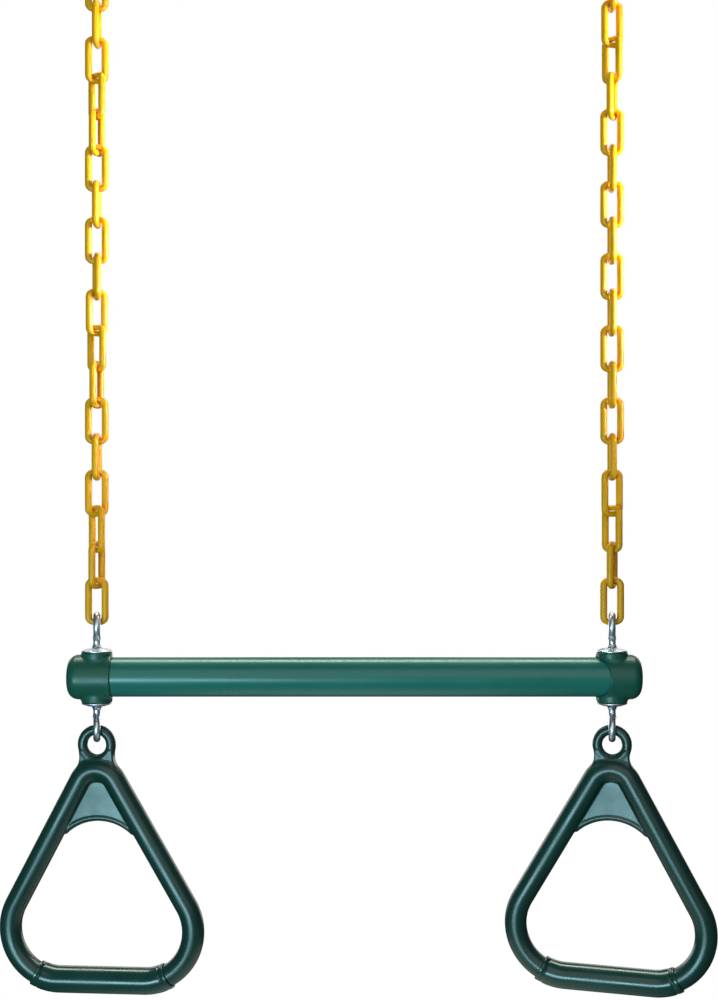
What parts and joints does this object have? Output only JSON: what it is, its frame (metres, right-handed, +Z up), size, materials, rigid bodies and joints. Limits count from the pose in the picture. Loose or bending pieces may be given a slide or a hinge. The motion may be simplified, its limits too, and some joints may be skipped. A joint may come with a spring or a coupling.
{
  "type": "trapeze bar with rings",
  "caption": "Hanging trapeze bar for a play frame: painted tube with moulded end caps, a triangular gym ring under each end, on plastic-coated chains with snap hooks.",
  "frame": {"origin": "the hang point: midway between the inside tops of the two snap hooks", "axes": "+X along the bar to its right-hand end, +Y to the back, +Z up along the chains"},
  "size_m": [0.6346, 0.0624, 0.9679],
  "materials": {
    "chain_coat": "gloss",
    "tube_paint": "gloss",
    "cap_plastic": "gloss",
    "ring_plastic": "satin",
    "grip_plastic": "gloss",
    "eye_zinc": "satin",
    "hook_zinc": "satin",
    "spring_steel": "satin"
  },
  "bodies": {
    "hanger": {"hook_left": "hook_zinc", "hook_right": "hook_zinc", "gate_pin_left": "hook_zinc", "gate_pin_right": "hook_zinc"},
    "gate_left": {"gate_left": "hook_zinc", "gate_spring_left": "spring_steel"},
    "gate_right": {"gate_right": "hook_zinc", "gate_spring_right": "spring_steel"},
    "link_left_01": {"link_left_01": "chain_coat"},
    "link_left_02": {"link_left_02": "chain_coat"},
    "link_left_03": {"link_left_03": "chain_coat"},
    "link_left_04": {"link_left_04": "chain_coat"},
    "link_left_05": {"link_left_05": "chain_coat"},
    "link_left_06": {"link_left_06": "chain_coat"},
    "link_left_07": {"link_left_07": "chain_coat"},
    "link_left_08": {"link_left_08": "chain_coat"},
    "link_left_09": {"link_left_09": "chain_coat"},
    "link_left_10": {"link_left_10": "chain_coat"},
    "link_left_11": {"link_left_11": "chain_coat"},
    "link_left_12": {"link_left_12": "chain_coat"},
    "link_left_13": {"link_left_13": "chain_coat"},
    "link_left_14": {"link_left_14": "chain_coat"},
    "link_left_15": {"link_left_15": "chain_coat"},
    "link_left_16": {"link_left_16": "chain_coat"},
    "link_left_17": {"link_left_17": "chain_coat"},
    "link_left_18": {"link_left_18": "chain_coat"},
    "link_right_01": {"link_right_01": "chain_coat"},
    "link_right_02": {"link_right_02": "chain_coat"},
    "link_right_03": {"link_right_03": "chain_coat"},
    "link_right_04": {"link_right_04": "chain_coat"},
    "link_right_05": {"link_right_05": "chain_coat"},
    "link_right_06": {"link_right_06": "chain_coat"},
    "link_right_07": {"link_right_07": "chain_coat"},
    "link_right_08": {"link_right_08": "chain_coat"},
    "link_right_09": {"link_right_09": "chain_coat"},
    "link_right_10": {"link_right_10": "chain_coat"},
    "link_right_11": {"link_right_11": "chain_coat"},
    "link_right_12": {"link_right_12": "chain_coat"},
    "link_right_13": {"link_right_13": "chain_coat"},
    "link_right_14": {"link_right_14": "chain_coat"},
    "link_right_15": {"link_right_15": "chain_coat"},
    "link_right_16": {"link_right_16": "chain_coat"},
    "link_right_17": {"link_right_17": "chain_coat"},
    "link_right_18": {"link_right_18": "chain_coat"},
    "bar": {"bar_tube": "tube_paint", "end_cap_left": "cap_plastic", "end_cap_right": "cap_plastic", "washer_upper_left": "eye_zinc", "washer_upper_right": "eye_zinc", "washer_lower_left": "eye_zinc", "washer_lower_right": "eye_zinc", "eye_rod_left": "eye_zinc", "eye_rod_right": "eye_zinc"},
    "ring_left": {"ring_frame_left": "ring_plastic", "ring_grip_left": "grip_plastic"},
    "ring_right": {"ring_frame_right": "ring_plastic", "ring_grip_right": "grip_plastic"}
  },
  "joints": [
    {"name": "gate_left_hinge", "type": "hinge", "parent": "hanger", "child": "gate_left", "pos_m": [-0.2286, -0.00899, -0.0442], "axis": [-1, 0, 0], "range_deg": [0, 22], "stiffness_Nm_per_rad": 0.2},
    {"name": "gate_right_hinge", "type": "hinge", "parent": "hanger", "child": "gate_right", "pos_m": [0.21961, 0, -0.0442], "axis": [0, 1, 0], "range_deg": [0, 22], "stiffness_Nm_per_rad": 0.2},
    {"name": "link_left_01_hinge", "type": "hinge", "parent": "hanger", "child": "link_left_01", "pos_m": [-0.2286, 0, -0.05378], "axis": [1, 0, 0], "range_deg": [-20, 20]},
    {"name": "link_right_01_hinge", "type": "hinge", "parent": "hanger", "child": "link_right_01", "pos_m": [0.2286, 0, -0.05378], "axis": [1, 0, 0], "range_deg": [-20, 20]},
    {"name": "link_left_02_hinge", "type": "hinge", "parent": "link_left_01", "child": "link_left_02", "pos_m": [-0.2286, 0, -0.08593], "axis": [-1, 0, 0], "range_deg": [-20, 20]},
    {"name": "link_right_02_hinge", "type": "hinge", "parent": "link_right_01", "child": "link_right_02", "pos_m": [0.2286, 0, -0.08593], "axis": [-1, 0, 0], "range_deg": [-20, 20]},
    {"name": "link_left_03_hinge", "type": "hinge", "parent": "link_left_02", "child": "link_left_03", "pos_m": [-0.2286, 0, -0.11719], "axis": [1, 0, 0], "range_deg": [-20, 20]},
    {"name": "link_right_03_hinge", "type": "hinge", "parent": "link_right_02", "child": "link_right_03", "pos_m": [0.2286, 0, -0.11719], "axis": [1, 0, 0], "range_deg": [-20, 20]},
    {"name": "link_left_04_hinge", "type": "hinge", "parent": "link_left_03", "child": "link_left_04", "pos_m": [-0.2286, 0, -0.15063], "axis": [-1, 0, 0], "range_deg": [-20, 20]},
    {"name": "link_right_04_hinge", "type": "hinge", "parent": "link_right_03", "child": "link_right_04", "pos_m": [0.2286, 0, -0.15063], "axis": [-1, 0, 0], "range_deg": [-20, 20]},
    {"name": "link_left_05_hinge", "type": "hinge", "parent": "link_left_04", "child": "link_left_05", "pos_m": [-0.2286, 0, -0.18116], "axis": [1, 0, 0], "range_deg": [-20, 20]},
    {"name": "link_right_05_hinge", "type": "hinge", "parent": "link_right_04", "child": "link_right_05", "pos_m": [0.2286, 0, -0.18116], "axis": [1, 0, 0], "range_deg": [-20, 20]},
    {"name": "link_left_06_hinge", "type": "hinge", "parent": "link_left_05", "child": "link_left_06", "pos_m": [-0.2286, 0, -0.21396], "axis": [-1, 0, 0], "range_deg": [-20, 20]},
    {"name": "link_right_06_hinge", "type": "hinge", "parent": "link_right_05", "child": "link_right_06", "pos_m": [0.2286, 0, -0.21396], "axis": [-1, 0, 0], "range_deg": [-20, 20]},
    {"name": "link_left_07_hinge", "type": "hinge", "parent": "link_left_06", "child": "link_left_07", "pos_m": [-0.2286, 0, -0.24577], "axis": [1, 0, 0], "range_deg": [-20, 20]},
    {"name": "link_right_07_hinge", "type": "hinge", "parent": "link_right_06", "child": "link_right_07", "pos_m": [0.2286, 0, -0.24577], "axis": [1, 0, 0], "range_deg": [-20, 20]},
    {"name": "link_left_08_hinge", "type": "hinge", "parent": "link_left_07", "child": "link_left_08", "pos_m": [-0.2286, 0, -0.27777], "axis": [-1, 0, 0], "range_deg": [-20, 20]},
    {"name": "link_right_08_hinge", "type": "hinge", "parent": "link_right_07", "child": "link_right_08", "pos_m": [0.2286, 0, -0.27777], "axis": [-1, 0, 0], "range_deg": [-20, 20]},
    {"name": "link_left_09_hinge", "type": "hinge", "parent": "link_left_08", "child": "link_left_09", "pos_m": [-0.2286, 0, -0.30968], "axis": [1, 0, 0], "range_deg": [-20, 20]},
    {"name": "link_right_09_hinge", "type": "hinge", "parent": "link_right_08", "child": "link_right_09", "pos_m": [0.2286, 0, -0.30968], "axis": [1, 0, 0], "range_deg": [-20, 20]},
    {"name": "link_left_10_hinge", "type": "hinge", "parent": "link_left_09", "child": "link_left_10", "pos_m": [-0.2286, 0, -0.3423], "axis": [-1, 0, 0], "range_deg": [-20, 20]},
    {"name": "link_right_10_hinge", "type": "hinge", "parent": "link_right_09", "child": "link_right_10", "pos_m": [0.2286, 0, -0.3423], "axis": [-1, 0, 0], "range_deg": [-20, 20]},
    {"name": "link_left_11_hinge", "type": "hinge", "parent": "link_left_10", "child": "link_left_11", "pos_m": [-0.2286, 0, -0.37252], "axis": [1, 0, 0], "range_deg": [-20, 20]},
    {"name": "link_right_11_hinge", "type": "hinge", "parent": "link_right_10", "child": "link_right_11", "pos_m": [0.2286, 0, -0.37252], "axis": [1, 0, 0], "range_deg": [-20, 20]},
    {"name": "link_left_12_hinge", "type": "hinge", "parent": "link_left_11", "child": "link_left_12", "pos_m": [-0.2286, 0, -0.40772], "axis": [-1, 0, 0], "range_deg": [-20, 20]},
    {"name": "link_right_12_hinge", "type": "hinge", "parent": "link_right_11", "child": "link_right_12", "pos_m": [0.2286, 0, -0.40772], "axis": [-1, 0, 0], "range_deg": [-20, 20]},
    {"name": "link_left_13_hinge", "type": "hinge", "parent": "link_left_12", "child": "link_left_13", "pos_m": [-0.2286, 0, -0.43539], "axis": [1, 0, 0], "range_deg": [-20, 20]},
    {"name": "link_right_13_hinge", "type": "hinge", "parent": "link_right_12", "child": "link_right_13", "pos_m": [0.2286, 0, -0.43539], "axis": [1, 0, 0], "range_deg": [-20, 20]},
    {"name": "link_left_14_hinge", "type": "hinge", "parent": "link_left_13", "child": "link_left_14", "pos_m": [-0.2286, 0, -0.47227], "axis": [-1, 0, 0], "range_deg": [-20, 20]},
    {"name": "link_right_14_hinge", "type": "hinge", "parent": "link_right_13", "child": "link_right_14", "pos_m": [0.2286, 0, -0.47227], "axis": [-1, 0, 0], "range_deg": [-20, 20]},
    {"name": "link_left_15_hinge", "type": "hinge", "parent": "link_left_14", "child": "link_left_15", "pos_m": [-0.2286, 0, -0.49961], "axis": [1, 0, 0], "range_deg": [-20, 20]},
    {"name": "link_right_15_hinge", "type": "hinge", "parent": "link_right_14", "child": "link_right_15", "pos_m": [0.2286, 0, -0.49961], "axis": [1, 0, 0], "range_deg": [-20, 20]},
    {"name": "link_left_16_hinge", "type": "hinge", "parent": "link_left_15", "child": "link_left_16", "pos_m": [-0.2286, 0, -0.53476], "axis": [-1, 0, 0], "range_deg": [-20, 20]},
    {"name": "link_right_16_hinge", "type": "hinge", "parent": "link_right_15", "child": "link_right_16", "pos_m": [0.2286, 0, -0.53476], "axis": [-1, 0, 0], "range_deg": [-20, 20]},
    {"name": "link_left_17_hinge", "type": "hinge", "parent": "link_left_16", "child": "link_left_17", "pos_m": [-0.2286, 0, -0.56654], "axis": [1, 0, 0], "range_deg": [-20, 20]},
    {"name": "link_right_17_hinge", "type": "hinge", "parent": "link_right_16", "child": "link_right_17", "pos_m": [0.2286, 0, -0.56654], "axis": [1, 0, 0], "range_deg": [-20, 20]},
    {"name": "link_left_18_hinge", "type": "hinge", "parent": "link_left_17", "child": "link_left_18", "pos_m": [-0.2286, 0, -0.5957], "axis": [-1, 0, 0], "range_deg": [-20, 20]},
    {"name": "link_right_18_hinge", "type": "hinge", "parent": "link_right_17", "child": "link_right_18", "pos_m": [0.2286, 0, -0.5957], "axis": [-1, 0, 0], "range_deg": [-20, 20]},
    {"name": "bar_hinge", "type": "hinge", "parent": "link_left_18", "child": "bar", "pos_m": [-0.2286, 0, -0.63227], "axis": [1, 0, 0], "range_deg": [-60, 60]},
    {"name": "ring_left_hinge", "type": "hinge", "parent": "bar", "child": "ring_left", "pos_m": [-0.2286, 0, -0.72785], "axis": [0.9877, -0.1564, 0], "range_deg": [-80, 80]},
    {"name": "ring_right_hinge", "type": "hinge", "parent": "bar", "child": "ring_right", "pos_m": [0.2286, 0, -0.72785], "axis": [0.9659, -0.2588, 0], "range_deg": [-80, 80]}
  ],
  "couplings": [
    {"joint": "link_right_01_hinge", "follows": "link_left_01_hinge", "ratio": 1},
    {"joint": "link_right_02_hinge", "follows": "link_left_02_hinge", "ratio": 1},
    {"joint": "link_right_03_hinge", "follows": "link_left_03_hinge", "ratio": 1},
    {"joint": "link_right_04_hinge", "follows": "link_left_04_hinge", "ratio": 1},
    {"joint": "link_right_05_hinge", "follows": "link_left_05_hinge", "ratio": 1},
    {"joint": "link_right_06_hinge", "follows": "link_left_06_hinge", "ratio": 1},
    {"joint": "link_right_07_hinge", "follows": "link_left_07_hinge", "ratio": 1},
    {"joint": "link_right_08_hinge", "follows": "link_left_08_hinge", "ratio": 1},
    {"joint": "link_right_09_hinge", "follows": "link_left_09_hinge", "ratio": 1},
    {"joint": "link_right_10_hinge", "follows": "link_left_10_hinge", "ratio": 1},
    {"joint": "link_right_11_hinge", "follows": "link_left_11_hinge", "ratio": 1},
    {"joint": "link_right_12_hinge", "follows": "link_left_12_hinge", "ratio": 1},
    {"joint": "link_right_13_hinge", "follows": "link_left_13_hinge", "ratio": 1},
    {"joint": "link_right_14_hinge", "follows": "link_left_14_hinge", "ratio": 1},
    {"joint": "link_right_15_hinge", "follows": "link_left_15_hinge", "ratio": 1},
    {"joint": "link_right_16_hinge", "follows": "link_left_16_hinge", "ratio": 1},
    {"joint": "link_right_17_hinge", "follows": "link_left_17_hinge", "ratio": 1},
    {"joint": "link_right_18_hinge", "follows": "link_left_18_hinge", "ratio": 1}
  ]
}
